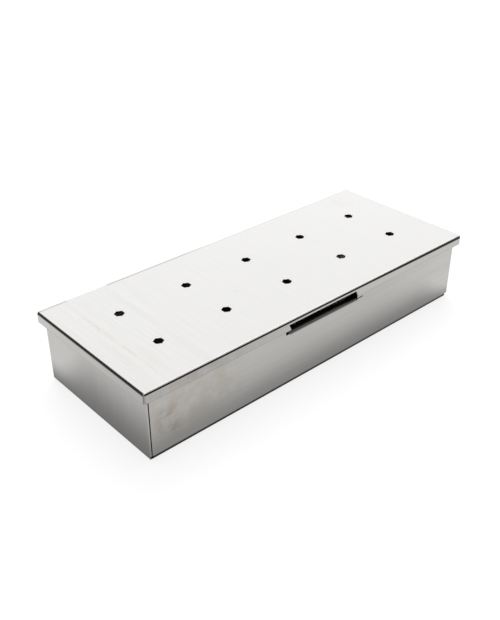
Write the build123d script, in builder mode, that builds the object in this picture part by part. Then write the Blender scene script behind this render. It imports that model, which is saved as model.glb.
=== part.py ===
from build123d import *
import os

# Stainless steel smoker box: a folded sheet tray for wood chips under a hinged, vented lid.
# Millimetres, +Z up. X runs along the box, and -Y is the front, where the finger notch is.
# The origin is the middle of the tray's underside.

# Driving sizes of the box
lid_length = 230.0
lid_width = 92.0
overall_height = 41.5
sheet = 0.8
lid_overhang = 3.0
skirt_height = 5.6

# Bends and corners of the two folded sheets
lid_bend_radius = 1.3
lid_corner_radius = 1.8
lid_seam_gap = 0.3
tray_bend_radius = 1.3
tray_seam_gap = 0.6
tray_seam_relief_radius = 0.8
tray_corner_relief_radius = 1.6
tray_relief_height = 2.4

# Vents in the lid: two rows of hexagonal holes
vent_across_flats = 4.65
vent_columns = 5
vent_pitch = 42.4
vent_row_spacing = 32.8

# Finger opening in the front: a leaning notch in the lid's skirt over a cut-out in the tray,
# whose lower edge is folded in as a lip, with a relief at its left end and a lanced slit at its
# right end
notch_length = 49.4
notch_height = 3.5
notch_lean = 1.65
notch_shift = 0.5
notch_corner_radius = 0.3
cutout_length = 53.4
cutout_shift = 0.7
cutout_corner_radius = 1.5
lip_drop = 8.6
lip_depth = 3.5
lip_bend_radius = 2.0
relief_length = 2.6
relief_drop = 0.8
slit_length = 4.4
slit_height = 0.6
slit_drop = 0.7

# Two butt hinges, spot welded to the tray's rear wall and to the lid's rear skirt
hinge_width = 22.0
hinge_end_inset = 26.0
leaf_thickness = 0.7
base_leaf_height = 12.0
lid_leaf_top_inset = 1.9
leaf_corner_radius = 1.2
lid_knuckle_length = 8.4
knuckle_end_gap = 0.3
knuckle_wall_gap = 0.3
knuckle_leaf_gap = 0.4
pin_clearance = 0.05
pin_head_overlap = 0.45
pin_head_length = 0.6
pin_head_rounding = 0.2

# Sizes that follow from those above
tray_length = lid_length - 2 * lid_overhang
tray_width = lid_width - 2 * lid_overhang
tray_height = overall_height - sheet
tray_seam_inset = sheet + tray_seam_gap / 2
skirt_bottom = overall_height - skirt_height
lip_top = tray_height - lip_drop
lip_bend_start = lip_top - lip_bend_radius
relief_bottom = lip_top - relief_drop
slit_bottom = lip_top - slit_drop
notch_top = skirt_bottom + notch_height
notch_left = -notch_length / 2 - notch_shift
cutout_left = cutout_shift - cutout_length / 2
cutout_right = cutout_shift + cutout_length / 2
lip_left = cutout_left + relief_length
knuckle_radius = (lid_overhang + leaf_thickness - knuckle_wall_gap) / 2
bore_radius = knuckle_radius - leaf_thickness
pin_radius = bore_radius - pin_clearance
pin_head_radius = bore_radius + pin_head_overlap
hinge_x = tray_length / 2 - hinge_end_inset
hinge_y = tray_width / 2 + knuckle_wall_gap + knuckle_radius
hinge_z = skirt_bottom - knuckle_leaf_gap - knuckle_radius
leaf_shoulder = knuckle_radius + knuckle_leaf_gap
base_knuckle_length = (hinge_width - lid_knuckle_length) / 2 - knuckle_end_gap
lid_leaf_top = overall_height - lid_leaf_top_inset

# Planes that the sheets' flat sides lie in, each with +X across and +Z up
front_wall = Plane.XZ.offset(tray_width / 2)
front_skirt = Plane.XZ.offset(lid_width / 2)
rear_wall = Plane.XZ.offset(-tray_width / 2)
rear_skirt = Plane.XZ.offset(-lid_width / 2)


def save(piece, name):
    """Label a finished piece and write it under its own name."""
    piece.label = name
    export_step(piece, f"parts/{name}.step")


os.makedirs("parts", exist_ok=True)

# Tray: an open pan, bent up on four sides
with BuildPart() as base_tray:
    with BuildSketch(Plane.XY):
        Rectangle(tray_length, tray_width)
    extrude(amount=tray_height)
    fillet(base_tray.faces().sort_by(Axis.Z)[0].edges(), radius=tray_bend_radius)
    with BuildSketch(Plane.XY.offset(sheet)):
        Rectangle(tray_length - 2 * sheet, tray_width - 2 * sheet)
    extrude(amount=tray_height, mode=Mode.SUBTRACT)
    tray_floor = base_tray.faces().filter_by(Axis.Z).sort_by(Axis.Z)[1]
    fillet(tray_floor.edges(), radius=tray_bend_radius - sheet)

    # Open butt seams where the walls meet. On the left the end wall covers the long walls' edges,
    # and on the right the long walls cover the end wall's. A round relief at the foot of each seam
    # takes in the whole corner on the right
    for y_side in (-1, 1):
        left_seam = (-tray_length / 2 + tray_seam_inset, y_side * tray_width / 2)
        right_seam = (tray_length / 2, y_side * (tray_width / 2 - tray_seam_inset))
        right_corner = (tray_length / 2, y_side * tray_width / 2)
        with BuildSketch(Plane.XY.offset(tray_bend_radius)):
            with Locations(left_seam):
                Rectangle(tray_seam_gap, 3 * sheet)
            with Locations(right_seam):
                Rectangle(3 * sheet, tray_seam_gap)
        extrude(amount=tray_height, mode=Mode.SUBTRACT)
        with BuildSketch(Plane.XY):
            with Locations(left_seam):
                Circle(tray_seam_relief_radius)
            with Locations(right_corner):
                Circle(tray_corner_relief_radius)
        extrude(amount=tray_relief_height, mode=Mode.SUBTRACT)

    # Finger cut-out in the front wall, with a slit beyond the right end of its lip
    with BuildSketch(front_wall):
        with Locations((cutout_left, relief_bottom)):
            Rectangle(cutout_length, tray_height, align=(Align.MIN, Align.MIN))
        with Locations((lip_left, lip_bend_start)):
            Rectangle(cutout_length - relief_length, tray_height, align=(Align.MIN, Align.MIN))
        with Locations((cutout_right, slit_bottom)):
            Rectangle(slit_length, slit_height, align=(Align.MIN, Align.MIN))
    extrude(amount=-2 * sheet, mode=Mode.SUBTRACT)
    rim_corners = base_tray.edges().filter_by(Axis.Y)
    rim_corners = rim_corners.filter_by_position(Axis.Z, tray_height, tray_height)
    rim_corners = rim_corners.sort_by_distance((cutout_shift, -tray_width / 2, tray_height))
    fillet(rim_corners[:2], radius=cutout_corner_radius)

    # Finger lip: the cut wall's edge, bent inwards
    with BuildSketch(Plane.YZ.offset(lip_left)):
        with BuildLine():
            outside = Line(
                (-tray_width / 2, lip_bend_start),
                (-tray_width / 2 + sheet, lip_bend_start),
            )
            inner_bend = RadiusArc(
                outside @ 1,
                (-tray_width / 2 + lip_bend_radius, lip_top - sheet),
                lip_bend_radius - sheet,
            )
            Polyline(
                inner_bend @ 1,
                (-tray_width / 2 + lip_depth, lip_top - sheet),
                (-tray_width / 2 + lip_depth, lip_top),
                (-tray_width / 2 + lip_bend_radius, lip_top),
            )
            RadiusArc(
                (-tray_width / 2 + lip_bend_radius, lip_top),
                outside @ 0,
                -lip_bend_radius,
            )
        make_face()
    extrude(amount=cutout_length - relief_length)
save(base_tray.part, "base_tray")

# Lid: a shallow pan, bent down on four sides, with rounded corners
with BuildPart() as lid_cover:
    with BuildSketch(Plane.XY.offset(skirt_bottom)):
        RectangleRounded(lid_length, lid_width, lid_corner_radius)
    extrude(amount=skirt_height)
    fillet(lid_cover.faces().sort_by(Axis.Z)[-1].edges(), radius=lid_bend_radius)
    with BuildSketch(Plane.XY.offset(overall_height - sheet)):
        RectangleRounded(lid_length - 2 * sheet, lid_width - 2 * sheet, lid_corner_radius - sheet)
    extrude(amount=-skirt_height, mode=Mode.SUBTRACT)
    lid_underside = lid_cover.faces().filter_by(Axis.Z).sort_by(Axis.Z)[-2]
    fillet(lid_underside.edges(), radius=lid_bend_radius - sheet)

    # A narrow seam parts the skirts at each corner, below the bend
    for x_side in (-1, 1):
        for y_side in (-1, 1):
            corner = (x_side * lid_length / 2, y_side * lid_width / 2, 0)
            with BuildSketch(Plane.XY.offset(skirt_bottom)):
                with Locations(Location(corner, (0, 0, 45 * x_side * y_side))):
                    Rectangle(3 * lid_corner_radius, lid_seam_gap)
            extrude(amount=skirt_height - lid_bend_radius, mode=Mode.SUBTRACT)

    # Vents, each with two flats facing the ends of the box
    with BuildSketch(Plane.XY.offset(overall_height)):
        with GridLocations(vent_pitch, vent_row_spacing, vent_columns, 2):
            RegularPolygon(vent_across_flats / 2, 6, major_radius=False, rotation=30)
    extrude(amount=-2 * sheet, mode=Mode.SUBTRACT)

    # Finger notch, open at the bottom of the front skirt, with both ends leaning the same way
    with BuildSketch(front_skirt) as finger_notch:
        with BuildLine():
            Polyline(
                (notch_left - notch_lean, notch_top),
                (notch_left - notch_lean + notch_length, notch_top),
                (notch_left + notch_lean + notch_length, skirt_bottom - notch_height),
                (notch_left + notch_lean, skirt_bottom - notch_height),
                close=True,
            )
        make_face()
        fillet(finger_notch.vertices().group_by(Axis.Y)[-1], radius=notch_corner_radius)
    extrude(amount=-2 * sheet, mode=Mode.SUBTRACT)
save(lid_cover.part, "lid_cover")

# Hinges: two base knuckles and a lid knuckle between them, all rolled round one pin
for side_name, side in (("left", -1), ("right", 1)):
    centre_x = side * hinge_x
    outer_knuckle_x = centre_x - hinge_width / 2
    lid_knuckle_x = centre_x - lid_knuckle_length / 2
    far_knuckle_x = centre_x + hinge_width / 2 - base_knuckle_length

    with BuildPart() as base_leaf:
        with BuildSketch(rear_wall) as base_plate:
            with Locations((centre_x, hinge_z)):
                Rectangle(hinge_width, base_leaf_height, align=(Align.CENTER, Align.MAX))
            fillet(base_plate.vertices().group_by(Axis.Y)[0], radius=leaf_corner_radius)
            with Locations((centre_x, hinge_z)):
                Rectangle(
                    lid_knuckle_length + 2 * knuckle_end_gap,
                    2 * leaf_shoulder,
                    mode=Mode.SUBTRACT,
                )
        extrude(amount=-leaf_thickness)
        for knuckle_x in (outer_knuckle_x, far_knuckle_x):
            with BuildSketch(Plane.YZ.offset(knuckle_x)):
                with Locations((hinge_y, hinge_z)):
                    Circle(knuckle_radius)
            extrude(amount=base_knuckle_length)
        with BuildSketch(Plane.YZ.offset(outer_knuckle_x)):
            with Locations((hinge_y, hinge_z)):
                Circle(bore_radius)
        extrude(amount=hinge_width, mode=Mode.SUBTRACT)
    save(base_leaf.part, f"{side_name}_hinge_base_leaf")

    with BuildPart() as lid_leaf:
        with BuildSketch(rear_skirt) as lid_plate:
            with Locations((centre_x, hinge_z + leaf_shoulder)):
                Rectangle(
                    hinge_width,
                    lid_leaf_top - hinge_z - leaf_shoulder,
                    align=(Align.CENTER, Align.MIN),
                )
            fillet(lid_plate.vertices().group_by(Axis.Y)[-1], radius=leaf_corner_radius)
            with Locations((centre_x, hinge_z)):
                Rectangle(lid_knuckle_length, 2 * leaf_shoulder, align=(Align.CENTER, Align.MIN))
        extrude(amount=-leaf_thickness)
        with BuildSketch(Plane.YZ.offset(lid_knuckle_x)):
            with Locations((hinge_y, hinge_z)):
                Circle(knuckle_radius)
        extrude(amount=lid_knuckle_length)
        with BuildSketch(Plane.YZ.offset(lid_knuckle_x)):
            with Locations((hinge_y, hinge_z)):
                Circle(bore_radius)
        extrude(amount=lid_knuckle_length, mode=Mode.SUBTRACT)
    save(lid_leaf.part, f"{side_name}_hinge_lid_leaf")

    with BuildPart() as hinge_pin:
        with BuildSketch(Plane.YZ.offset(outer_knuckle_x)):
            with Locations((hinge_y, hinge_z)):
                Circle(pin_radius)
        extrude(amount=hinge_width)
        for head_x in (outer_knuckle_x - pin_head_length, outer_knuckle_x + hinge_width):
            with BuildSketch(Plane.YZ.offset(head_x)):
                with Locations((hinge_y, hinge_z)):
                    Circle(pin_head_radius)
            extrude(amount=pin_head_length)
        fillet(hinge_pin.faces().sort_by(Axis.X)[0].edges(), radius=pin_head_rounding)
        fillet(hinge_pin.faces().sort_by(Axis.X)[-1].edges(), radius=pin_head_rounding)
    save(hinge_pin.part, f"{side_name}_hinge_pin")
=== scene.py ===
from math import cos, pi, radians
from typing import NamedTuple

import bmesh
import bpy
from bpy.props import FloatProperty, FloatVectorProperty, IntProperty, PointerProperty
from mathutils import Matrix, Vector


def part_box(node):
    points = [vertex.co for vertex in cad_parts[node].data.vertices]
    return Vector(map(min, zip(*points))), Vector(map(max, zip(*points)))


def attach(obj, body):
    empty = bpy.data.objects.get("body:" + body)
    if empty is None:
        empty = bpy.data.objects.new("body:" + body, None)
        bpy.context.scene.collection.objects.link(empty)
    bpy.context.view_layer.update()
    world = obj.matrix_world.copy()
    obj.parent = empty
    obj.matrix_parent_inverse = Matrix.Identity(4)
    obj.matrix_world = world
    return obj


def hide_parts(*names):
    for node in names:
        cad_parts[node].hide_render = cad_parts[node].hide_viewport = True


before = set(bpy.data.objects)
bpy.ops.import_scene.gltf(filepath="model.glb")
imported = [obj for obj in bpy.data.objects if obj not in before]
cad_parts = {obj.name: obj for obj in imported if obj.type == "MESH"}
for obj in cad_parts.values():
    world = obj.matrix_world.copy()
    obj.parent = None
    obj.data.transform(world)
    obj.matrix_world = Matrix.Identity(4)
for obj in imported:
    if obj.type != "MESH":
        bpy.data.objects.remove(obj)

bl_info = {
    "name": "Smoker Box",
    "version": (1, 0, 0),
    "blender": (4, 5, 0),
    "location": "3D View > Sidebar > Smoker Box",
    "description": "Builds a folded stainless smoker box, its hinges and its studio",
    "category": "Object",
}

MM = 0.001
LID_LOW, LID_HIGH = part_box("lid_cover")
TRAY_LOW, TRAY_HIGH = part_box("base_tray")

# Corners this near to a line or a height lie on it.
SAME_PLACE = 1e-6
# Corners this near to each other are merged.
WELD = 1e-7
# Faces that meet at more than this angle meet at a cut edge, not at a bend.
SHARP = radians(50)
# The least part of a face's normal along Y on the flat front wall, and along X on an end.
FLAT = 0.99
ALONG_X = 0.75
VENT_SIDES = 6


def length(name, description, default):
    """A size in metres with its name and its description."""
    return FloatProperty(
        name=name,
        description=description,
        default=default,
        min=0.0,
        precision=5,
        subtype="DISTANCE",
        unit="LENGTH",
    )


def steps(name, description, default, least=1):
    """A whole number with its name and its description."""
    return IntProperty(name=name, description=description, default=default, min=least)


def colour(name, description, default):
    """A plain linear colour with its name and its description."""
    return FloatVectorProperty(
        name=name,
        description=description,
        default=default,
        size=3,
        min=0.0,
        max=1.0,
        subtype="COLOR",
    )


def share(name, description, default):
    """A number without a unit, with its name and its description."""
    return FloatProperty(name=name, description=description, default=default, min=0.0, precision=3)


class SmokerBoxSheet(bpy.types.PropertyGroup):
    """Sheet steel and its bends"""

    thickness: length("Thickness", "Thickness of the folded sheet", 0.8 * MM)
    lid_bend: length("Lid Bend", "Outer radius of the lid's bends", 1.3 * MM)
    lid_corner: length("Lid Corner", "Radius of the lid's corners in plan", 1.8 * MM)
    lid_seam: length("Lid Seam", "Width of the seam in the skirt at a corner", 0.3 * MM)
    tray_bend: length("Tray Bend", "Outer radius of the tray's bends", 1.3 * MM)
    bend_steps: steps("Bend Steps", "Faces round a bend", 8, 2)
    edge_round: length("Edge Rounding", "Rounding of a deburred cut edge", 0.1 * MM)
    seam_gap: length("Tray Seam Gap", "Width of the open seam at a tray corner", 0.6 * MM)
    seam_relief: length("Seam Relief", "Radius of the relief under a left tray seam", 0.8 * MM)
    corner_relief: length("Corner Relief", "Radius of the relief at a right tray corner", 1.6 * MM)
    relief_height: length("Relief Height", "Height of the reliefs under the tray's seams", 2.4 * MM)
    relief_steps: steps("Relief Steps", "Faces round a relief", 24, 8)


class SmokerBoxVents(bpy.types.PropertyGroup):
    """Hexagonal vents in the lid"""

    across_flats: length("Across Flats", "Size of a vent across its flats", 4.65 * MM)
    columns: steps("Columns", "Vents along the box", 5)
    pitch: length("Pitch", "Distance between vents along the box", 42.4 * MM)
    row_spacing: length("Row Spacing", "Distance between the two rows", 32.8 * MM)
    punch_round: length("Punch Rounding", "Rolled-over rim where the punch went in", 0.25 * MM)
    punch_steps: steps("Punch Steps", "Faces round a rolled-over rim", 3)


class SmokerBoxFinger(bpy.types.PropertyGroup):
    """Finger opening in the front"""

    notch_length: length("Notch Length", "Length of the notch in the lid's skirt", 49.4 * MM)
    notch_height: length("Notch Height", "Height of the notch in the lid's skirt", 3.5 * MM)
    notch_lean: length("Notch Lean", "How far a notch end leans over its height", 1.65 * MM)
    notch_shift: length("Notch Shift", "How far the notch sits to the left", 0.5 * MM)
    notch_round: length("Notch Rounding", "Radius of the notch's corners", 0.3 * MM)
    notch_steps: steps("Notch Steps", "Faces round a corner of the notch", 4)
    cutout_length: length("Cut-out Length", "Length of the cut-out in the tray", 53.4 * MM)
    cutout_shift: length("Cut-out Shift", "How far the cut-out sits to the right", 0.7 * MM)
    cutout_round: length("Cut-out Rounding", "Radius of the rim's corners at the cut-out", 1.5 * MM)
    cutout_steps: steps("Cut-out Steps", "Faces round a corner of the rim", 6)
    lip_drop: length("Lip Drop", "Height of the tray's rim over the lip", 8.6 * MM)
    lip_depth: length("Lip Depth", "How far the lip reaches inwards", 3.5 * MM)
    lip_bend: length("Lip Bend", "Outer radius of the lip's bend", 2.0 * MM)
    lance_gap: length("Lance Gap", "Gap where the lip was cut free of the wall", 0.05 * MM)
    relief_length: length("Relief Length", "Length of the relief at the lip's left end", 2.6 * MM)
    relief_drop: length("Relief Drop", "How far the relief reaches under the lip", 0.8 * MM)
    slit_length: length("Slit Length", "Length of the slit beyond the lip's right end", 4.4 * MM)
    slit_height: length("Slit Height", "Height of the slit", 0.6 * MM)
    slit_drop: length("Slit Drop", "How far the slit starts under the lip", 0.7 * MM)


class SmokerBoxSteel(bpy.types.PropertyGroup):
    """Brushed stainless finish and its painted light and shade"""

    steel: colour("Steel", "Colour of the brushed steel", (0.44, 0.432, 0.417))
    tint: colour("Handling Tint", "Colour of faint brown marks", (0.36, 0.315, 0.265))
    roughness: share("Roughness", "Roughness of the brushed face", 0.3)
    grain: share("Grain", "Contrast of the fine brushed lines", 0.2)
    lid_grain: share("Lid Grain", "The same on the lid, twice that at its left end", 0.09)
    # Bend Shade is painted shade: it stands for the dark reflection in the lid's bends and, on the
    # long walls, darkens the line at the foot.
    bend_dark: share("Bend Shade", "How dark the painted shade on a bend is", 0.96)
    bend_shine: share("Bend Shine", "How much lighter a long lid bend is where it starts", 0.9)
    end_bend_dark: share("End Bend Shade", "How dark the tray's short bends are", 0.25)
    lid_seam_dark: share("Lid Seam Shade", "How dark the seams at the lid's corners are", 0.75)
    lid_corner_dark: share("Lid Corner Shade", "How dark the lid's rounded corners are", 0.3)
    tray_seam_dark: share("Tray Seam Shade", "How dark the cut edges in the tray's seams are", 0.8)
    foot_dark: share("Foot Shade", "How much the long walls darken at their foot", 0.49)
    end_foot_dark: share("End Foot Shade", "How much the end walls darken at their foot", 0.73)
    floor_dark: share("Floor Shade", "How dark the tray's floor is inside", 0.5)
    lip_dark: share("Lip Shade", "How dark the finger lip's bend is", 0.78)
    edge_dark: share("Edge Shade", "How dark the skirt's cut edge is", 0.35)
    inner_light: share("Inner Light", "How much lighter the inner faces are painted", 0.6)


class SmokerBoxStudio(bpy.types.PropertyGroup):
    """Floor and lights"""

    floor: colour("Floor", "Colour of the floor", (0.93, 0.93, 0.93))
    lamp_watts: share("Lamp", "Power of the overhead lamp", 7.5)
    softbox: share("Softbox", "Brightness of the softbox that the lid mirrors", 2.04)
    tent: share("Tent", "Brightness of the tent round the box", 1.0)
    flag: share("Flag", "Brightness of the dark flags", 0.5)
    shadow_lift: share("Shadow Lift", "Share of plain white laid over the floor", 0.78)


SETTINGS = {
    "smoker_sheet": SmokerBoxSheet,
    "smoker_vents": SmokerBoxVents,
    "smoker_finger": SmokerBoxFinger,
    "smoker_steel": SmokerBoxSteel,
    "smoker_studio": SmokerBoxStudio,
}


def linked(mesh, name):
    """A new object for a mesh, at the origin."""
    piece = bpy.data.objects.new(name, mesh)
    bpy.context.scene.collection.objects.link(piece)
    return piece


def piece_from(bm, name):
    """A new object from a bmesh, which is freed."""
    mesh = bpy.data.meshes.new(name)
    bm.to_mesh(mesh)
    bm.free()
    return linked(mesh, name)


def apply_modifiers(piece):
    """Put the piece's modifiers into its mesh."""
    depsgraph = bpy.context.evaluated_depsgraph_get()
    mesh = bpy.data.meshes.new_from_object(piece.evaluated_get(depsgraph))
    piece.modifiers.clear()
    piece.data = mesh


def cut_away(piece, cutters):
    """Cut a bmesh of closed cutters out of a piece."""
    tool = piece_from(cutters, piece.name + "_cutters")
    cut = piece.modifiers.new("Cut", "BOOLEAN")
    cut.operation = "DIFFERENCE"
    cut.solver = "EXACT"
    cut.use_self = True
    cut.object = tool
    apply_modifiers(piece)
    bpy.data.objects.remove(tool)


def add_block(bm, low, high):
    """Add a box from its lowest to its highest corner and return its corners."""
    made = bmesh.ops.create_cube(bm, size=1.0)["verts"]
    bmesh.ops.scale(bm, vec=high - low, verts=made)
    bmesh.ops.translate(bm, vec=(low + high) / 2, verts=made)
    return made


def add_prism(bm, centre, radius, sides, height):
    """Add an upright prism round a centre."""
    bmesh.ops.create_cone(
        bm,
        cap_ends=True,
        segments=sides,
        radius1=radius,
        radius2=radius,
        depth=height,
        matrix=Matrix.Translation(centre),
    )


def edges_of(verts):
    """The edges whose two ends are both among the corners."""
    chosen = set(verts)
    found = {edge for vert in verts for edge in vert.link_edges}
    return [edge for edge in found if edge.verts[0] in chosen and edge.verts[1] in chosen]


def parts_of(geometry, kind):
    """The faces, edges or corners in what an operator returned."""
    return [part for part in geometry if isinstance(part, kind)]


def round_off(bm, geometry, radius, segments, affect="EDGES"):
    """Round edges or corners off with a radius."""
    bmesh.ops.bevel(
        bm,
        geom=geometry,
        affect=affect,
        offset=radius,
        offset_type="OFFSET",
        segments=segments,
        profile=0.5,
        material=-1,
    )


def open_pan(low, high, open_z, bend, segments, corner=0.0):
    """The outer skin of a box that is open on one side, with the edges of its plate bent round."""
    bm = bmesh.new()
    add_block(bm, low, high)
    if corner:
        upright = [
            edge for edge in bm.edges if abs(edge.verts[0].co.z - edge.verts[1].co.z) > SAME_PLACE
        ]
        round_off(bm, upright, corner, segments)
    plate_z = low.z if open_z == high.z else high.z
    mouth = [face for face in bm.faces if abs(face.calc_center_median().z - open_z) < SAME_PLACE]
    bmesh.ops.delete(bm, geom=mouth, context="FACES")
    plate_verts = [vert for vert in bm.verts if abs(vert.co.z - plate_z) < SAME_PLACE]
    round_off(bm, edges_of(plate_verts), bend, segments)
    return bm


def outwards(bm, direction):
    """Turn all faces so that the one furthest out in a direction faces that way."""
    bmesh.ops.recalc_face_normals(bm, faces=bm.faces)
    outermost = max(bm.faces, key=lambda face: face.calc_center_median().dot(direction))
    if outermost.normal.dot(direction) < 0:
        bmesh.ops.reverse_faces(bm, faces=bm.faces)


def thicken(piece, thickness):
    """Give an open skin its sheet thickness, inwards."""
    wall = piece.modifiers.new("Sheet", "SOLIDIFY")
    wall.thickness = thickness
    wall.offset = -1.0
    wall.use_even_offset = True
    wall.use_rim = True
    apply_modifiers(piece)


def finish_edges(piece, width):
    """Round the cut edges a little and keep the flat faces flat in shading."""
    rounding = piece.modifiers.new("Deburr", "BEVEL")
    rounding.width = width
    rounding.segments = 2
    rounding.limit_method = "ANGLE"
    rounding.angle_limit = SHARP
    rounding.use_clamp_overlap = True
    apply_modifiers(piece)
    for face in piece.data.polygons:
        face.use_smooth = True
    piece.data.set_sharp_from_angle(angle=SHARP)
    weighted = piece.modifiers.new("Flat Faces", "WEIGHTED_NORMAL")
    weighted.keep_sharp = True
    weighted.weight = 100
    apply_modifiers(piece)


def vent_centres(vents):
    """The middle of each vent, at the lid's top."""
    first = -vents.pitch * (vents.columns - 1) / 2
    for column in range(vents.columns):
        for side in (-1, 1):
            yield Vector((first + column * vents.pitch, side * vents.row_spacing / 2, LID_HIGH.z))


def add_lid_seams(cutters, sheet):
    """Add the cutters of the upright seams at the lid's corners, each across its two skirts."""
    reach = 1.5 * sheet.lid_corner
    half_gap = sheet.lid_seam / 2
    height = LID_HIGH.z - LID_LOW.z - sheet.lid_bend + sheet.thickness
    for x_side in (-1, 1):
        for y_side in (-1, 1):
            low, high = Vector((-reach, -half_gap, 0)), Vector((reach, half_gap, height))
            made = add_block(cutters, low, high)
            turn = Matrix.Rotation(radians(45) * x_side * y_side, 3, "Z")
            bmesh.ops.rotate(cutters, verts=made, cent=(0, 0, 0), matrix=turn)
            corner = Vector((x_side * LID_HIGH.x, y_side * -LID_LOW.y, LID_LOW.z - sheet.thickness))
            bmesh.ops.translate(cutters, verts=made, vec=corner)


def add_notch(cutters, sheet, finger):
    """Add the cutter of the finger notch in the front skirt, with leaning ends and round corners."""
    left = -finger.notch_length / 2 - finger.notch_shift
    right = left + finger.notch_length
    top = LID_LOW.z + finger.notch_height
    mouth = add_block(
        cutters,
        Vector((left, LID_LOW.y - sheet.thickness, LID_LOW.z - finger.notch_height)),
        Vector((right, LID_LOW.y + 2 * sheet.thickness, top)),
    )
    for vert in mouth:
        vert.co.x += finger.notch_lean if vert.co.z < LID_LOW.z else -finger.notch_lean
    top_ends = [
        edge
        for edge in edges_of(mouth)
        if all(abs(vert.co.z - top) < SAME_PLACE for vert in edge.verts)
        and abs(edge.verts[0].co.x - edge.verts[1].co.x) < SAME_PLACE
    ]
    round_off(cutters, top_ends, finger.notch_round, finger.notch_steps)


def roll_vent_rims(piece, vents):
    """Round off the upper rim of each vent."""
    bm = bmesh.new()
    bm.from_mesh(piece.data)
    rims = [
        edge
        for edge in bm.edges
        if all(abs(vert.co.z - LID_HIGH.z) < SAME_PLACE for vert in edge.verts)
        and any(
            all((vert.co - centre).length < vents.across_flats for vert in edge.verts)
            for centre in vent_centres(vents)
        )
        and abs(edge.calc_face_angle(0.0)) > SHARP
    ]
    round_off(bm, rims, vents.punch_round, vents.punch_steps)
    bm.to_mesh(piece.data)
    bm.free()


def make_lid(sheet, vents, finger):
    """The lid: a shallow pan with rounded corners, seamed skirts, vents and a finger notch."""
    bm = open_pan(LID_LOW, LID_HIGH, LID_LOW.z, sheet.lid_bend, sheet.bend_steps, sheet.lid_corner)
    outwards(bm, Vector((0, 0, 1)))
    piece = piece_from(bm, "lid_sheet")
    thicken(piece, sheet.thickness)

    cutters = bmesh.new()
    vent_radius = vents.across_flats / 2 / cos(pi / VENT_SIDES)
    for centre in vent_centres(vents):
        add_prism(cutters, centre, vent_radius, VENT_SIDES, 4 * sheet.thickness)
    add_lid_seams(cutters, sheet)
    add_notch(cutters, sheet, finger)
    cut_away(piece, cutters)
    roll_vent_rims(piece, vents)
    finish_edges(piece, sheet.edge_round)
    return piece


def cut_faces(bm, faces, point, normal):
    """Cut the given faces along a plane and return them with the new ones."""
    geom = list(faces) + list({edge for face in faces for edge in face.edges})
    geom += list({vert for face in faces for vert in face.verts})
    made = bmesh.ops.bisect_plane(bm, geom=geom, dist=WELD, plane_co=point, plane_no=normal)
    return parts_of(made["geom"], bmesh.types.BMFace)


def fold_lip(bm, lip_left, lip_right, fold_z, sheet, finger):
    """Fold the front wall's upper edge inwards over a quarter turn and lengthen it to the lip."""
    fold = [
        edge
        for edge in bm.edges
        if all(
            abs(vert.co.z - fold_z) < SAME_PLACE
            and abs(vert.co.y - TRAY_LOW.y) < SAME_PLACE
            and lip_left - SAME_PLACE < vert.co.x < lip_right + SAME_PLACE
            for vert in edge.verts
        )
    ]
    ends = list({vert for edge in fold for vert in edge.verts})
    spun = bmesh.ops.spin(
        bm,
        geom=fold + ends,
        cent=Vector((0, TRAY_LOW.y + finger.lip_bend, fold_z)),
        axis=Vector((-1, 0, 0)),
        angle=pi / 2,
        steps=sheet.bend_steps,
        use_duplicate=False,
    )
    lip_edges = parts_of(spun["geom_last"], bmesh.types.BMEdge)
    grown = bmesh.ops.extrude_edge_only(bm, edges=lip_edges)
    lip_verts = parts_of(grown["geom"], bmesh.types.BMVert)
    bmesh.ops.translate(bm, vec=(0, finger.lip_depth - finger.lip_bend, 0), verts=lip_verts)
    bmesh.ops.remove_doubles(bm, verts=bm.verts, dist=WELD)


def open_front(bm, sheet, finger):
    """Open the tray's front wall for a finger, with the lip and the rim's round corners."""
    cut_left = finger.cutout_shift - finger.cutout_length / 2
    cut_right = finger.cutout_shift + finger.cutout_length / 2
    lip_left = cut_left + finger.relief_length
    lip_right = cut_right - finger.lance_gap
    fold_z = TRAY_HIGH.z - finger.lip_drop - finger.lip_bend
    relief_z = TRAY_HIGH.z - finger.lip_drop - finger.relief_drop
    sideways, upwards = Vector((1, 0, 0)), Vector((0, 0, 1))

    wall = [
        face
        for face in bm.faces
        if abs(face.normal.y) > FLAT and face.calc_center_median().y < 0
    ]
    for cut_x in (cut_left, lip_left, lip_right, cut_right):
        wall = cut_faces(bm, wall, Vector((cut_x, 0, 0)), sideways)
    relief = [face for face in wall if cut_left < face.calc_center_median().x < lip_left]
    relief = cut_faces(bm, relief, Vector((0, 0, relief_z)), upwards)
    middle = [
        face
        for face in bm.faces
        if face in wall and lip_left < face.calc_center_median().x < cut_right
    ]
    middle = cut_faces(bm, middle, Vector((0, 0, fold_z)), upwards)
    waste = [face for face in relief if face.calc_center_median().z > relief_z]
    waste += [face for face in middle if face.calc_center_median().z > fold_z]
    bmesh.ops.delete(bm, geom=waste, context="FACES")

    fold_lip(bm, lip_left, lip_right, fold_z, sheet, finger)
    rim_corners = [
        vert
        for vert in bm.verts
        if abs(vert.co.z - TRAY_HIGH.z) < SAME_PLACE
        and abs(vert.co.y - TRAY_LOW.y) < SAME_PLACE
        and min(abs(vert.co.x - cut_left), abs(vert.co.x - cut_right)) < SAME_PLACE
    ]
    round_off(bm, rim_corners, finger.cutout_round, finger.cutout_steps, "VERTICES")


def add_slit(cutters, sheet, finger):
    """Add the cutter of the slit beyond the lip's right end."""
    cut_right = finger.cutout_shift + finger.cutout_length / 2
    slit_z = TRAY_HIGH.z - finger.lip_drop - finger.slit_drop
    add_block(
        cutters,
        Vector((cut_right - finger.lance_gap, TRAY_LOW.y - sheet.thickness, slit_z)),
        Vector(
            (
                cut_right + finger.slit_length,
                TRAY_LOW.y + 2 * sheet.thickness,
                slit_z + finger.slit_height,
            )
        ),
    )


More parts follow.
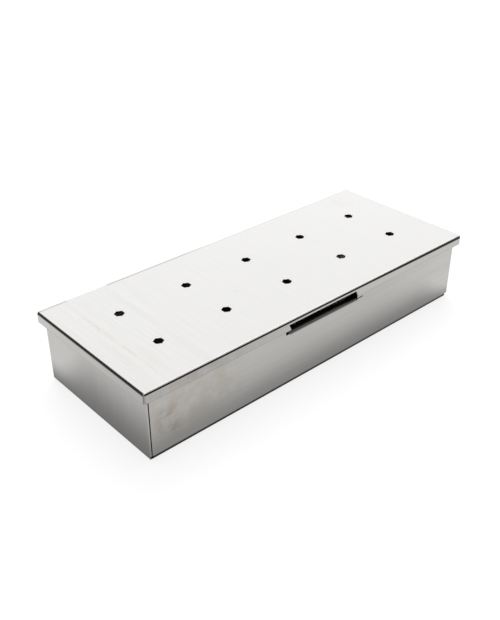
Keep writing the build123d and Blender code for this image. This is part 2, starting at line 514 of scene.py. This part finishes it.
def add_tray_seams(cutters, sheet):
    """Add the cutters of the four open seams, through the long walls at the left and through the
    end wall at the right, and of the round reliefs at their feet."""
    inset = sheet.thickness + sheet.seam_gap / 2
    through = 1.5 * sheet.thickness
    top = Vector((0, 0, TRAY_HIGH.z + sheet.thickness))
    for x_side in (-1, 1):
        for y_side in (-1, 1):
            half = Vector((sheet.seam_gap / 2, through, 0))
            seam = Vector((TRAY_LOW.x + inset, y_side * TRAY_HIGH.y, 0))
            foot, radius = seam, sheet.seam_relief
            if x_side > 0:
                half = half.yxz
                seam = Vector((TRAY_HIGH.x, y_side * (TRAY_HIGH.y - inset), 0))
                foot, radius = Vector((TRAY_HIGH.x, y_side * TRAY_HIGH.y, 0)), sheet.corner_relief
            add_block(cutters, seam - half + Vector((0, 0, sheet.tray_bend)), seam + half + top)
            centre = foot + Vector((0, 0, TRAY_LOW.z))
            add_prism(cutters, centre, radius, sheet.relief_steps, 2 * sheet.relief_height)


def make_tray(sheet, finger):
    """The tray: an open pan with butt seams and a finger lip folded in along the front wall."""
    bm = open_pan(TRAY_LOW, TRAY_HIGH, TRAY_HIGH.z, sheet.tray_bend, sheet.bend_steps)
    open_front(bm, sheet, finger)
    outwards(bm, Vector((0, 0, -1)))
    piece = piece_from(bm, "tray_sheet")
    thicken(piece, sheet.thickness)

    cutters = bmesh.new()
    add_slit(cutters, sheet, finger)
    add_tray_seams(cutters, sheet)
    cut_away(piece, cutters)
    finish_edges(piece, sheet.edge_round)
    return piece


# The Mix node's sockets for numbers and for colours.
NUMBER_A, NUMBER_B = 2, 3
COLOUR_A, COLOUR_B, COLOUR_OUT = 6, 7, 2


def node(tree, kind, inputs=None, **settings):
    """Add a shader node with its settings, and values or links for its inputs."""
    made = tree.nodes.new(kind)
    for name, value in settings.items():
        setattr(made, name, value)
    for socket, value in (inputs or {}).items():
        if isinstance(value, bpy.types.NodeSocket):
            tree.links.new(value, made.inputs[socket])
        else:
            made.inputs[socket].default_value = value
    return made


def math_node(tree, operation, first, second=0.0, third=0.0, clamp=False):
    """The output of a Math node."""
    inputs = {0: first, 1: second, 2: third}
    return node(tree, "ShaderNodeMath", inputs, operation=operation, use_clamp=clamp).outputs[0]


def product(tree, first, *others):
    """The product of two or more values."""
    for other in others:
        first = math_node(tree, "MULTIPLY", first, other)
    return first


def lit(tree, shade):
    """What a shade leaves of the light."""
    return math_node(tree, "SUBTRACT", 1.0, shade)


def unsigned(tree, value):
    """A value without its sign."""
    return math_node(tree, "ABSOLUTE", value)


def axes(tree, vector):
    """The parts of a vector along X, Y and Z."""
    return node(tree, "ShaderNodeSeparateXYZ", {0: vector}).outputs


def ramp(tree, value, low, high, to_low=0.0, to_high=1.0):
    """A smooth step of a value from one range to another."""
    inputs = {"Value": value, "From Min": low, "From Max": high, "To Min": to_low, "To Max": to_high}
    return node(tree, "ShaderNodeMapRange", inputs, interpolation_type="SMOOTHSTEP").outputs["Result"]


def swing(tree, value, middle, width):
    """A noise, which lies between 0 and 1, spread evenly round a middle."""
    return math_node(tree, "MULTIPLY_ADD", value, width, middle - width / 2)


def mix_colour(tree, factor, first, second, blend="MIX"):
    """The colour output of a Mix node."""
    inputs = {0: factor, COLOUR_A: first, COLOUR_B: second}
    made = node(tree, "ShaderNodeMix", inputs, data_type="RGBA", blend_type=blend)
    return made.outputs[COLOUR_OUT]


def mix_number(tree, factor, first, second):
    """The number output of a Mix node."""
    inputs = {0: factor, NUMBER_A: first, NUMBER_B: second}
    return node(tree, "ShaderNodeMix", inputs, data_type="FLOAT").outputs[0]


class Noise(NamedTuple):
    """A noise on the steel: its features in a metre, its detail and its start in the pattern"""

    scale: float
    detail: float
    start: tuple


GRAIN = Noise(1300.0, 3.0, (0.37, 1.3, 2.1))
STREAKS = Noise(230.0, 4.0, (3.1, 7.7, 5.3))
CLOUDS = Noise(22.0, 3.0, (1.7, 2.9, 4.1))
SPECKS = Noise(420.0, 2.0, (9.1, 4.3, 2.2))
BLOTCHES = Noise(130.0, 4.0, (5.5, 6.1, 0.7))


def noise(tree, place, kind, stretch=(1, 1, 1)):
    """The value of a noise on stretched Object coordinates."""
    mapping = {"Vector": place, "Scale": stretch, "Location": kind.start}
    mapped = node(tree, "ShaderNodeMapping", mapping).outputs[0]
    inputs = {"Vector": mapped, "Scale": kind.scale, "Detail": kind.detail, "Roughness": 0.55}
    return node(tree, "ShaderNodeTexNoise", inputs, noise_dimensions="3D").outputs["Fac"]


class Mark(NamedTuple):
    """A faint mark on the steel: an ellipsoid, how brown it is and how much lighter it gets"""

    centre: tuple
    size: tuple
    tint: float
    change: float


# On the lid a fine dark scratch and a pale band near its left end, and faint stains at its rear
# right corner and on its front skirt. On the front wall a brown stain and a wide paler one.
LID_MARKS = (
    Mark((-0.1, 0.0, LID_HIGH.z), (0.0009, 0.05, 0.002), 0.2, -0.05),
    Mark((-0.09, 0.0, LID_HIGH.z), (0.01, 0.06, 0.002), 0.0, 0.015),
    Mark((0.097, 0.033, LID_HIGH.z), (0.01, 0.009, 0.002), 0.1, -0.02),
    Mark((-0.085, LID_LOW.y, 0.038), (0.035, 0.004, 0.004), 0.5, -0.02),
)
WALL_MARKS = (
    Mark((-0.101, TRAY_LOW.y, 0.017), (0.01, 0.004, 0.013), 0.5, -0.06),
    Mark((-0.085, TRAY_LOW.y, 0.024), (0.04, 0.004, 0.022), 0.45, 0.0),
)
# The share of a mark's size within which it is full, and how the blotches break it up.
MARK_CORE = 0.35
MARK_BLOTCHES = (0.38, 0.62)
MARK_LEAST = 0.15


def spot(tree, place, centre, size):
    """1 in the middle of an ellipsoid, falling to 0 at its surface."""
    away = node(tree, "ShaderNodeVectorMath", {0: place, 1: centre}, operation="SUBTRACT")
    scaled = node(tree, "ShaderNodeVectorMath", {0: away.outputs[0], 1: size}, operation="DIVIDE")
    far = node(tree, "ShaderNodeVectorMath", {0: scaled.outputs[0]}, operation="LENGTH")
    return ramp(tree, far.outputs["Value"], 1.0, MARK_CORE)


def marked(tree, place, light, marks):
    """The light with the marks laid over it, and how brown they make the steel."""
    blotches = ramp(tree, noise(tree, place, BLOTCHES), *MARK_BLOTCHES, MARK_LEAST, 1.0)
    brown = 0.0
    for mark in marks:
        strength = product(tree, spot(tree, place, mark.centre, mark.size), blotches)
        light = product(tree, light, math_node(tree, "MULTIPLY_ADD", strength, mark.change, 1.0))
        brown = math_node(tree, "ADD", brown, product(tree, strength, mark.tint), clamp=True)
    return light, brown


# Each pair below says where a painted shade starts and where it is full, or the two values that
# it runs between. "Upright" is how far a surface faces up, from 1 on the lid's top to 0 on a
# skirt. "Turned" is how far it faces along X rather than along Y, from 1 to -1.
LONG_BEND_UPRIGHT = (0.78, 0.66)
LONG_BEND_TURNED = (-0.1, -0.35)
LONG_BEND_X = (0.0, 100 * MM)
LONG_BEND_FOOT = (LID_HIGH.z - 1.25 * MM, LID_HIGH.z - 1.85 * MM)
LONG_BEND_FADE = 0.34 * MM
SHORT_BEND_UPRIGHT = (0.995, 0.9)
SHORT_BEND_FOOT = (0.04, 0.3)
SHORT_BEND_TURNED = (0.1, 0.3)
SHORT_BEND_SHARE = 0.94
SHINE_UPRIGHT = (0.999, 0.97)
SHINE_FOOT = (0.74, 0.8)
SHINE_TURNED = (0.0, -0.15)
LID_SEAM_X_SIDE = (0.45, 0.25)
LID_SEAM_Y_SIDE = (-0.15, 0.05)
LID_CORNER_X_SIDE = (0.4, 0.1)
LID_CORNER_Y_SIDE = (-0.95, -0.3)
LID_CORNER_UPRIGHT = (0.8, 0.5)

SKIRT_FACING = (0.7, 0.9)
LONG_SKIRT_X = (-60 * MM, 30 * MM)
LONG_SKIRT_GAIN = (-0.08, 0.08)
SHORT_SKIRT_Y = (LID_LOW.y, LID_HIGH.y)
SHORT_SKIRT_GAIN = (-0.09, 0.12)

REAR_LINE_LEFT_X = (-97 * MM, -99 * MM)
REAR_LINE_LEFT_DARK = 0.3
REAR_LINE_RIGHT_X = (-74.5 * MM, -73.5 * MM)
REAR_LINE_FADE_X = (-25 * MM, 0.0)
REAR_LINE_DARK = (0.34, 0.08)
REAR_LINE_Y = (LID_HIGH.y - 2.5 * MM, LID_HIGH.y - 1.8 * MM)
REAR_LINE_Z = (LID_HIGH.z - 0.6 * MM, LID_HIGH.z - 0.4 * MM)

LID_GRAIN_X = (-40 * MM, -90 * MM)
CUT_EDGE_Z = (LID_LOW.z + 0.35 * MM, LID_LOW.z + 0.1 * MM)
UNDERSIDE_UPRIGHT = (-0.5, -0.9)
UNDERSIDE_Z = (LID_HIGH.z - 1.3 * MM, LID_HIGH.z - 1.0 * MM)


def lid_bends(tree, place, normal, look):
    """The painted shade on the lid's bends, corner seams and rounded corners, less the painted shine
    where a long bend starts.
    """
    x, _, height = axes(tree, place)
    across, along, upright = axes(tree, normal)
    turned = math_node(tree, "SUBTRACT", unsigned(tree, across), unsigned(tree, along))
    over_foot = math_node(
        tree, "SUBTRACT", height, ramp(tree, x, *LONG_BEND_X, *LONG_BEND_FOOT)
    )
    long_bend = product(
        tree,
        ramp(tree, upright, *LONG_BEND_UPRIGHT),
        ramp(tree, over_foot, 0.0, LONG_BEND_FADE),
        ramp(tree, turned, *LONG_BEND_TURNED),
    )
    short_bend = product(
        tree,
        ramp(tree, upright, *SHORT_BEND_UPRIGHT),
        ramp(tree, upright, *SHORT_BEND_FOOT),
        ramp(tree, turned, *SHORT_BEND_TURNED),
        SHORT_BEND_SHARE,
    )
    bends = math_node(tree, "ADD", long_bend, short_bend, clamp=True)
    shine = product(
        tree,
        ramp(tree, upright, *SHINE_UPRIGHT),
        ramp(tree, upright, *SHINE_FOOT, 0.0, -look.bend_shine),
        ramp(tree, turned, *SHINE_TURNED),
    )
    seam = product(
        tree,
        ramp(tree, turned, *LID_SEAM_X_SIDE),
        ramp(tree, turned, *LID_SEAM_Y_SIDE),
        ramp(tree, upright, *LID_CORNER_UPRIGHT, 0.0, look.lid_seam_dark),
    )
    corner = product(
        tree,
        ramp(tree, turned, *LID_CORNER_Y_SIDE),
        ramp(tree, turned, *LID_CORNER_X_SIDE),
        ramp(tree, upright, *LID_CORNER_UPRIGHT, 0.0, look.lid_corner_dark),
    )
    bent = math_node(tree, "ADD", product(tree, bends, look.bend_dark), shine)
    return math_node(tree, "ADD", bent, math_node(tree, "MAXIMUM", seam, corner))


def skirt_light(tree, place, normal):
    """The painted light that makes the lid's skirts brighter towards the right and the rear."""
    x, y, _ = axes(tree, place)
    across, along, _ = axes(tree, normal)
    on_long = ramp(tree, unsigned(tree, along), *SKIRT_FACING)
    on_short = ramp(tree, unsigned(tree, across), *SKIRT_FACING)
    long_gain = product(tree, on_long, ramp(tree, x, *LONG_SKIRT_X, *LONG_SKIRT_GAIN))
    short_gain = product(tree, on_short, ramp(tree, y, *SHORT_SKIRT_Y, *SHORT_SKIRT_GAIN))
    return math_node(tree, "ADD", 1.0, math_node(tree, "ADD", long_gain, short_gain))


def rear_line(tree, place):
    """The faint painted shade along the lid's rear bend, which leaves a gap over the left hinge."""
    x, y, z = axes(tree, place)
    right = product(
        tree,
        ramp(tree, x, *REAR_LINE_RIGHT_X),
        ramp(tree, x, *REAR_LINE_FADE_X, *REAR_LINE_DARK),
    )
    left = ramp(tree, x, *REAR_LINE_LEFT_X, 0.0, REAR_LINE_LEFT_DARK)
    on_bend = product(tree, ramp(tree, y, *REAR_LINE_Y), ramp(tree, z, *REAR_LINE_Z))
    return product(tree, math_node(tree, "ADD", right, left), on_bend)


def lid_light(tree, place, normal, look):
    """How light the lid is painted on its bends, skirts, cut edges and underside."""
    height = axes(tree, place)[2]
    upright = axes(tree, normal)[2]
    under = product(tree, ramp(tree, upright, *UNDERSIDE_UPRIGHT), ramp(tree, height, *UNDERSIDE_Z))
    return product(
        tree,
        lit(tree, lid_bends(tree, place, normal, look)),
        skirt_light(tree, place, normal),
        lit(tree, rear_line(tree, place)),
        ramp(tree, height, *CUT_EDGE_Z, 1.0, 1.0 - look.edge_dark),
        math_node(tree, "MULTIPLY_ADD", under, look.inner_light, 1.0),
    )


# The tray's pairs are like the lid's. "Level" is how far a surface faces up: 1 on the floor, 0 on
# a wall and under 0 on an outer bend.
OUTER_LEVEL = (0.3, 0.05)
FLOOR_LEVEL = (0.4, 0.6)
FLOOR_Z = (3 * MM, 2 * MM)
FOOT_LINE_Z = (2.5 * MM, 1.7 * MM)
INNER_X = (TRAY_HIGH.x - 0.3 * MM, TRAY_HIGH.x - 0.5 * MM)
INNER_Y = (TRAY_HIGH.y - 0.3 * MM, TRAY_HIGH.y - 0.5 * MM)
INNER_Z = (TRAY_LOW.z + 0.3 * MM, TRAY_LOW.z + 0.5 * MM)

WALL_REACH_X = (80 * MM, 114 * MM)
WALL_REACH = (26 * MM, 9 * MM)
WALL_FOOT_X = (-90 * MM, 90 * MM)
WALL_FOOT_GAIN = (0.93, 1.14)
WALL_RIGHT_X = (30 * MM, 110 * MM)
WALL_RIGHT_GAIN = (1.0, 1.12)
LIP_TOP_Z = (TRAY_HIGH.z - 7.7 * MM, TRAY_HIGH.z - 7.9 * MM)
LIP_FOOT_Z = (TRAY_HIGH.z - 12.7 * MM, TRAY_HIGH.z - 11.7 * MM)
LIP_LEVEL = (0.0, 0.55)

END_REAR_Y = (0.0, 40 * MM)
END_REACH = (42 * MM, 15 * MM)
END_REAR_GAIN = (1.0, 1.1)
TRAY_SEAM_X = (TRAY_HIGH.x - 0.4 * MM, TRAY_HIGH.x - 0.5 * MM)
TRAY_SEAM_Y = (TRAY_HIGH.y - 0.9 * MM, TRAY_HIGH.y - 0.8 * MM)


def foot_shade(tree, z, reach, dark):
    """A shade that grows from its reach above the floor down to the foot."""
    return ramp(tree, math_node(tree, "DIVIDE", z, reach), 1.0, 0.0, 0.0, dark)


def foot_light(tree, z, level, foot, line_dark, look):
    """How light the tray is by its foot outside, on its foot line and on its floor."""
    outer = ramp(tree, level, *OUTER_LEVEL)
    line = ramp(tree, z, *FOOT_LINE_Z, 0.0, line_dark)
    floor = product(
        tree, ramp(tree, level, *FLOOR_LEVEL), ramp(tree, z, *FLOOR_Z, 0.0, look.floor_dark)
    )
    return product(
        tree,
        lit(tree, product(tree, foot, outer)),
        lit(tree, product(tree, line, outer)),
        lit(tree, floor),
    )


def inner_light(tree, x, y, z, look):
    """How much lighter the tray's inner faces are painted."""
    within = product(
        tree,
        ramp(tree, unsigned(tree, y), *INNER_Y),
        ramp(tree, unsigned(tree, x), *INNER_X),
        ramp(tree, z, *INNER_Z, 0.0, look.inner_light),
    )
    return math_node(tree, "ADD", 1.0, within)


def wall_light(tree, place, normal, look):
    """How light the tray's long walls, floor and lip are painted."""
    x, y, z = axes(tree, place)
    level = axes(tree, normal)[2]
    foot = foot_shade(tree, z, ramp(tree, x, *WALL_REACH_X, *WALL_REACH), look.foot_dark)
    foot = product(tree, foot, ramp(tree, x, *WALL_FOOT_X, *WALL_FOOT_GAIN))
    lip = product(
        tree,
        ramp(tree, z, *LIP_TOP_Z),
        ramp(tree, z, *LIP_FOOT_Z),
        ramp(tree, level, *LIP_LEVEL, 0.0, look.lip_dark),
    )
    return product(
        tree,
        foot_light(tree, z, level, foot, look.bend_dark, look),
        lit(tree, lip),
        ramp(tree, x, *WALL_RIGHT_X, *WALL_RIGHT_GAIN),
        inner_light(tree, x, y, z, look),
    )


def end_light(tree, place, normal, look):
    """How light the tray's end walls and the cut faces in its seams are painted."""
    x, y, z = axes(tree, place)
    level = axes(tree, normal)[2]
    foot = foot_shade(tree, z, ramp(tree, y, *END_REAR_Y, *END_REACH), look.end_foot_dark)
    in_seam = product(
        tree,
        ramp(tree, unsigned(tree, y), *TRAY_SEAM_Y),
        ramp(tree, unsigned(tree, x), *TRAY_SEAM_X, 0.0, look.tray_seam_dark),
    )
    return product(
        tree,
        foot_light(tree, z, level, foot, look.end_bend_dark, look),
        lit(tree, in_seam),
        ramp(tree, y, *END_REAR_Y, *END_REAR_GAIN),
        inner_light(tree, x, y, z, look),
    )


PAINTS = {"lid": lid_light, "wall": wall_light, "end": end_light}

# How much the noises change the light and the roughness, and the bumps' strengths and heights.
CLOUD_LIGHT = 0.08
SPECK_RANGE = (0.22, 0.3)
SPECK_LIGHT = (0.86, 1.0)
STREAK_ROUGHNESS = 0.12
CLOUD_ROUGHNESS = 0.08
GRAIN_BUMP = {"Strength": 0.25, "Distance": 0.01 * MM}
DENT_BUMP = {"Strength": 0.3, "Distance": 0.2 * MM}
# Where steel gets smoother than this, the picture's denoiser leaves a row of dots.
LEAST_ROUGHNESS = 0.28


def brushed_steel(name, look, stretch, part="hinge", marks=()):
    """Brushed stainless steel. The stretch is large across the grain and small along it.

    The part is lid, wall, end or hinge, and says which bends and edges are painted darker.
    """
    material = bpy.data.materials.new(name)
    material.use_nodes = True
    tree = material.node_tree
    shader = tree.nodes["Principled BSDF"]
    coordinates = node(tree, "ShaderNodeTexCoord").outputs
    place, normal = coordinates["Object"], coordinates["Normal"]

    grain = noise(tree, place, GRAIN, stretch)
    streaks = noise(tree, place, STREAKS, stretch)
    clouds = noise(tree, place, CLOUDS)
    specks = noise(tree, place, SPECKS)

    lines = math_node(tree, "SUBTRACT", math_node(tree, "ADD", grain, streaks), 1.0)
    contrast = look.grain
    if part == "lid":
        contrast = ramp(tree, axes(tree, place)[0], *LID_GRAIN_X, look.lid_grain, 2 * look.lid_grain)
    light = product(
        tree,
        math_node(tree, "MULTIPLY_ADD", lines, contrast, 1.0),
        swing(tree, clouds, 1.0, CLOUD_LIGHT),
        ramp(tree, specks, *SPECK_RANGE, *SPECK_LIGHT),
    )
    base = (*look.steel, 1)
    if marks:
        light, brown = marked(tree, place, light, marks)
        base = mix_colour(tree, brown, base, (*look.tint, 1))
    if part in PAINTS:
        light = product(tree, light, PAINTS[part](tree, place, normal, look))
    shade = node(tree, "ShaderNodeCombineXYZ", {0: light, 1: light, 2: light}).outputs[0]
    tree.links.new(mix_colour(tree, 1.0, base, shade, "MULTIPLY"), shader.inputs["Base Color"])

    rough = math_node(
        tree,
        "ADD",
        swing(tree, streaks, look.roughness, STREAK_ROUGHNESS),
        swing(tree, clouds, 0.0, CLOUD_ROUGHNESS),
    )
    rough = math_node(tree, "MAXIMUM", rough, LEAST_ROUGHNESS)
    tree.links.new(rough, shader.inputs["Roughness"])
    shader.inputs["Metallic"].default_value = 1.0

    relief = node(tree, "ShaderNodeBump", {**GRAIN_BUMP, "Height": grain}).outputs[0]
    dents = node(tree, "ShaderNodeBump", {**DENT_BUMP, "Height": clouds, "Normal": relief})
    tree.links.new(dents.outputs[0], shader.inputs["Normal"])
    return material


# The stretch of the grain: the fine lines run along the axes with the small numbers.
LINES_ALONG_X = (0.02, 1, 1)
LINES_ALONG_YZ = (1, 0.02, 0.02)
LINES_ALONG_XY = (0.02, 0.02, 1)
LINES_ALONG_XZ = (0.02, 1, 0.02)
LINES_ALONG_Z = (1, 1, 0.05)


def by_facing(piece, ends, rest):
    """Give the faces that face along X one material and all others another."""
    piece.data.materials.clear()
    piece.data.materials.append(rest)
    piece.data.materials.append(ends)
    for face in piece.data.polygons:
        face.material_index = 1 if abs(face.normal.x) > ALONG_X else 0


class SMOKERBOX_OT_lid(bpy.types.Operator):
    """Fold the lid, punch its vents and brush it"""

    bl_idname = "smokerbox.lid"
    bl_label = "Lid"

    def execute(self, context):
        scene = context.scene
        piece = make_lid(scene.smoker_sheet, scene.smoker_vents, scene.smoker_finger)
        look = scene.smoker_steel
        across = brushed_steel("lid_brushed", look, LINES_ALONG_YZ, "lid", LID_MARKS)
        ends = brushed_steel("lid_end_brushed", look, LINES_ALONG_XY, "lid")
        by_facing(piece, ends, across)
        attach(piece, "lid")
        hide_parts("lid_cover")
        return {"FINISHED"}


class SMOKERBOX_OT_tray(bpy.types.Operator):
    """Fold the tray with its finger lip and brush it"""

    bl_idname = "smokerbox.tray"
    bl_label = "Tray"

    def execute(self, context):
        scene = context.scene
        piece = make_tray(scene.smoker_sheet, scene.smoker_finger)
        look = scene.smoker_steel
        along = brushed_steel("tray_brushed", look, LINES_ALONG_X, "wall", WALL_MARKS)
        ends = brushed_steel("tray_end_brushed", look, LINES_ALONG_XZ, "end")
        by_facing(piece, ends, along)
        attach(piece, "base")
        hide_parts("base_tray")
        return {"FINISHED"}


class SMOKERBOX_OT_hinges(bpy.types.Operator):
    """Finish the leaves and the pins of both hinges"""

    bl_idname = "smokerbox.hinges"
    bl_label = "Hinges"

    def execute(self, context):
        satin = brushed_steel("hinge_satin", context.scene.smoker_steel, LINES_ALONG_Z)
        for name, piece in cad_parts.items():
            if "hinge" in name:
                for slot in piece.material_slots:
                    slot.material = satin
        return {"FINISHED"}


# The world is painted by direction, as the parts of a unit vector along X, Y and Z.
FLAG_Z = (0.12, 0.3)
RIGHT_FLAG_X = (0.2, 0.4)
RIGHT_FLAG_Y = (0.42, 0.3)
REAR_FLAG_X = (0.25, 0.1)
REAR_FLAG_Y = (0.45, 0.6)
SOFTBOX_WAY = Vector((0.57, 0.63, 0.5))
SOFTBOX_ANGLES = (radians(34), radians(26))
PLAIN_WHITE = (1, 1, 1, 1)
COOL_WHITE = (0.975, 0.985, 1, 1)


def studio_world(studio):
    """A pale tent with a softbox behind on the right and two dark flags."""
    world = bpy.data.worlds.new("tent")
    bpy.context.scene.world = world
    world.use_nodes = True
    tree = world.node_tree
    background = tree.nodes["Background"]
    direction = node(tree, "ShaderNodeTexCoord").outputs["Generated"]
    x, y, z = axes(tree, direction)

    right_flag = product(tree, ramp(tree, x, *RIGHT_FLAG_X), ramp(tree, y, *RIGHT_FLAG_Y))
    rear_flag = product(tree, ramp(tree, x, *REAR_FLAG_X), ramp(tree, y, *REAR_FLAG_Y))
    flags = product(
        tree, math_node(tree, "MAXIMUM", right_flag, rear_flag), ramp(tree, z, *FLAG_Z)
    )
    aim = {0: direction, 1: SOFTBOX_WAY.normalized()}
    facing = node(tree, "ShaderNodeVectorMath", aim, operation="DOT_PRODUCT").outputs["Value"]
    softbox = ramp(tree, facing, *map(cos, SOFTBOX_ANGLES))

    tent = mix_number(tree, flags, studio.tent, studio.flag)
    strength = mix_number(tree, softbox, tent, studio.softbox)
    tree.links.new(strength, background.inputs["Strength"])
    tint = mix_colour(tree, softbox, PLAIN_WHITE, COOL_WHITE)
    tree.links.new(tint, background.inputs["Color"])


def studio_floor(studio):
    """A plain pale floor under the box, which looks nearly white and keeps the shadow."""
    bm = bmesh.new()
    bmesh.ops.create_circle(bm, cap_ends=True, segments=96, radius=4.0)
    floor = piece_from(bm, "floor")
    material = bpy.data.materials.new("pale_floor")
    material.use_nodes = True
    tree = material.node_tree
    shader = tree.nodes["Principled BSDF"]
    shader.inputs["Base Color"].default_value = (*studio.floor, 1)
    shader.inputs["Roughness"].default_value = 1.0
    shader.inputs["Specular IOR Level"].default_value = 0.0
    rays = node(tree, "ShaderNodeLightPath").outputs
    seen = math_node(tree, "ADD", rays["Is Camera Ray"], rays["Is Glossy Ray"], clamp=True)
    seen = math_node(tree, "ADD", seen, rays["Is Transmission Ray"], clamp=True)
    white = node(tree, "ShaderNodeEmission", {"Color": PLAIN_WHITE, "Strength": 1.0})
    layers = {
        0: product(tree, seen, studio.shadow_lift),
        1: shader.outputs[0],
        2: white.outputs[0],
    }
    mixed = node(tree, "ShaderNodeMixShader", layers)
    tree.links.new(mixed.outputs[0], tree.nodes["Material Output"].inputs["Surface"])
    floor.data.materials.append(material)


def studio_lamp(studio):
    """A wide lamp over the box that lights the floor and isn't mirrored in the steel."""
    light = bpy.data.lights.new("overhead", "AREA")
    light.shape = "DISK"
    light.size = 1.2
    light.energy = studio.lamp_watts
    lamp = bpy.data.objects.new("overhead", light)
    lamp.location = (0.25, 0.3, 1.0)
    lamp.rotation_euler = (-lamp.location).to_track_quat("-Z", "Y").to_euler()
    lamp.visible_glossy = False
    bpy.context.scene.collection.objects.link(lamp)


def studio_camera():
    """The camera at the photographer's place, looking at the middle of the box."""
    place = Vector((-0.26821, -0.28524, 0.25839))
    target = Vector((0.01080, 0.02497, 0.0))
    lens = bpy.data.cameras.new("camera")
    lens.sensor_width = 36.0
    lens.lens = 47.53
    lens.clip_start = 0.01
    camera = bpy.data.objects.new("camera", lens)
    camera.location = place
    camera.rotation_euler = (target - place).to_track_quat("-Z", "Y").to_euler()
    bpy.context.scene.collection.objects.link(camera)
    bpy.context.scene.camera = camera


class SMOKERBOX_OT_stage(bpy.types.Operator):
    """Set up the floor, the light and the camera"""

    bl_idname = "smokerbox.stage"
    bl_label = "Stage"

    def execute(self, context):
        studio = context.scene.smoker_studio
        studio_world(studio)
        studio_floor(studio)
        studio_lamp(studio)
        studio_camera()
        context.scene.view_settings.view_transform = "Standard"
        return {"FINISHED"}


class SMOKERBOX_PT_sidebar(bpy.types.Panel):
    """Sizes, finish and builders of the smoker box"""

    bl_label = "Smoker Box"
    bl_space_type = "VIEW_3D"
    bl_region_type = "UI"
    bl_category = "Smoker Box"

    def draw(self, context):
        layout = self.layout
        for name in SETTINGS:
            group = getattr(context.scene, name)
            box = layout.box()
            box.label(text=group.__doc__ or name)
            for field in group.__annotations__:
                box.prop(group, field)
        for operator in OPERATORS:
            layout.operator(operator.bl_idname)


OPERATORS = (
    SMOKERBOX_OT_tray,
    SMOKERBOX_OT_lid,
    SMOKERBOX_OT_hinges,
    SMOKERBOX_OT_stage,
)
CLASSES = (*SETTINGS.values(), *OPERATORS, SMOKERBOX_PT_sidebar)


def register():
    for item in CLASSES:
        bpy.utils.register_class(item)
    for name, group in SETTINGS.items():
        setattr(bpy.types.Scene, name, PointerProperty(type=group))


def unregister():
    for name in SETTINGS:
        delattr(bpy.types.Scene, name)
    for item in reversed(CLASSES):
        bpy.utils.unregister_class(item)


def main():
    """Build the whole box in its studio."""
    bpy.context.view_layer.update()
    register()
    bpy.ops.smokerbox.tray()
    bpy.ops.smokerbox.lid()
    bpy.ops.smokerbox.hinges()
    bpy.ops.smokerbox.stage()
    bpy.context.view_layer.update()


if __name__ == "__main__":
    main()
